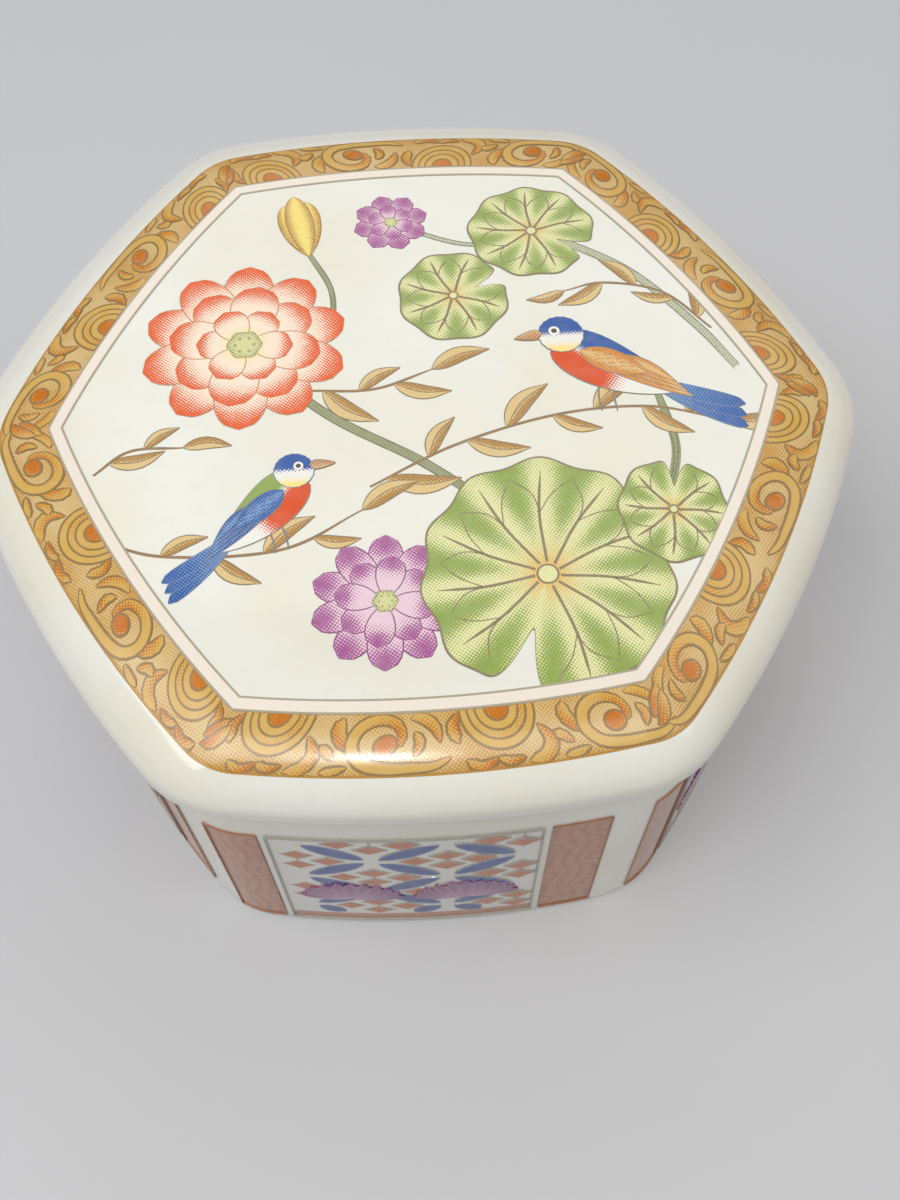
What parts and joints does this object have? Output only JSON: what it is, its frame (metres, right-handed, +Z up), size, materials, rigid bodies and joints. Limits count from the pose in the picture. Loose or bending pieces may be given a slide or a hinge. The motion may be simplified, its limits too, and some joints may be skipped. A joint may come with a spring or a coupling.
{
  "type": "lidded trinket box",
  "caption": "Low six-sided porcelain box with bowed sides, rounded corners and a lift-off lid with a locating flange.",
  "frame": {"origin": "centre of the foot ring, on the surface that the box stands on", "axes": "+Z up, along which the lid lifts off; +X towards a corner, the longest way across; flat sides face -Y and +Y"},
  "size_m": [0.1066, 0.0992, 0.053],
  "materials": {
    "glazed_porcelain": "glossy clear glaze over a warm white body",
    "overglaze_enamel": "glossy fired overglaze decoration in several colours",
    "bare_porcelain": "matt unglazed foot ring and lid seat"
  },
  "bodies": {
    "base": {"box_base": "glazed_porcelain"},
    "lid": {"lid": "glazed_porcelain"}
  },
  "joints": [
    {"name": "lid_lift", "type": "slide", "parent": "base", "child": "lid", "axis": [0, 0, 1], "range_m": [0, 0.06]}
  ]
}
